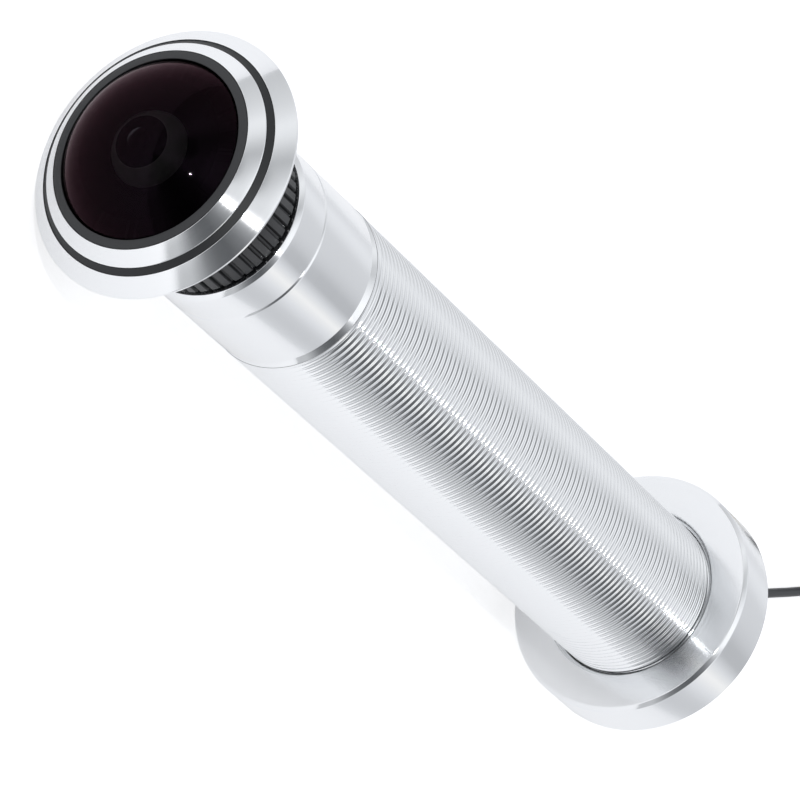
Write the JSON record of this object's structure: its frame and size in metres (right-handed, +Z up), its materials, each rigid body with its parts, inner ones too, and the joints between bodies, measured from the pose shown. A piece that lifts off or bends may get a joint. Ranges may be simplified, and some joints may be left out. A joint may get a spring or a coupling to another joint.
{
  "type": "peephole door camera",
  "caption": "Door viewer camera: domed wide-angle lens in a grooved bezel, threaded aluminium tube through the door, ring nut behind it, thin cable to a plug.",
  "frame": {"origin": "centre of the bezel's rear face, where the door's outside surface lies", "axes": "+Y along the tube from the lens to the nut, through the door; +Z up; the lens looks along -Y"},
  "size_m": [0.0567, 0.1736, 0.0239],
  "materials": {
    "turned_aluminium": "polished, fine turning marks",
    "groove_paint": "satin",
    "black_anodised": "black anodised, satin",
    "lens_glass": "polished, coated",
    "filter_glass": "polished",
    "black_plastic": "matte",
    "rubber": "satin",
    "sensor_package": "glossy",
    "board_laminate": "glossy",
    "brass": "satin",
    "steel": "satin",
    "cream_plastic": "satin",
    "nylon": "satin"
  },
  "bodies": {
    "barrel": {"lens_mount": "turned_aluminium", "barrel_tube": "turned_aluminium", "sensor_cover_glass": "lens_glass", "image_sensor": "sensor_package", "sensor_board": "board_laminate", "board_posts": "brass", "board_header": "black_plastic", "signal_board": "board_laminate", "board_chips": "black_plastic", "board_screws": "steel", "wire_connector": "cream_plastic", "inner_lead": "rubber", "rear_cap": "black_plastic", "cable_gland": "rubber", "cable": "rubber", "cable_coil": "rubber", "cable_tail": "rubber", "coil_tie": "black_plastic", "plug_shell": "cream_plastic", "plug_contacts": "brass"},
    "bezel": {"front_bezel": "turned_aluminium", "groove_inlay": "groove_paint"},
    "lens": {"lens_rim": "black_anodised", "front_lens": "lens_glass", "front_seal": "rubber", "lens_housing": "black_anodised", "grip_ring": "black_anodised", "lens_spacer": "black_plastic", "second_lens": "lens_glass", "aperture_stop": "black_plastic", "third_lens": "lens_glass", "rear_spacer": "black_plastic", "rear_lens": "lens_glass", "rear_retainer": "black_plastic", "ir_filter": "filter_glass"},
    "insert": {"nut_ring": "nylon"},
    "nut": {"clamp_nut": "turned_aluminium"}
  },
  "joints": [
    {"name": "focus_slide", "type": "slide", "parent": "barrel", "child": "bezel", "axis": [0, -1, 0], "range_m": [0, 0.001]},
    {"name": "focus_turn", "type": "hinge", "parent": "bezel", "child": "lens", "pos_m": [0, 0, 0], "axis": [0, -1, 0], "range_deg": [0, 721]},
    {"name": "nut_slide", "type": "slide", "parent": "barrel", "child": "insert", "axis": [0, -1, 0], "range_m": [0, 0.06825]},
    {"name": "nut_turn", "type": "hinge", "parent": "insert", "child": "nut", "pos_m": [0, 0.0938, 0], "axis": [0, -1, 0], "range_deg": [0, 32762]}
  ],
  "couplings": [
    {"joint": "focus_turn", "follows": "focus_slide", "rad_per_m": 12566},
    {"joint": "nut_turn", "follows": "nut_slide", "rad_per_m": 8377.6}
  ]
}
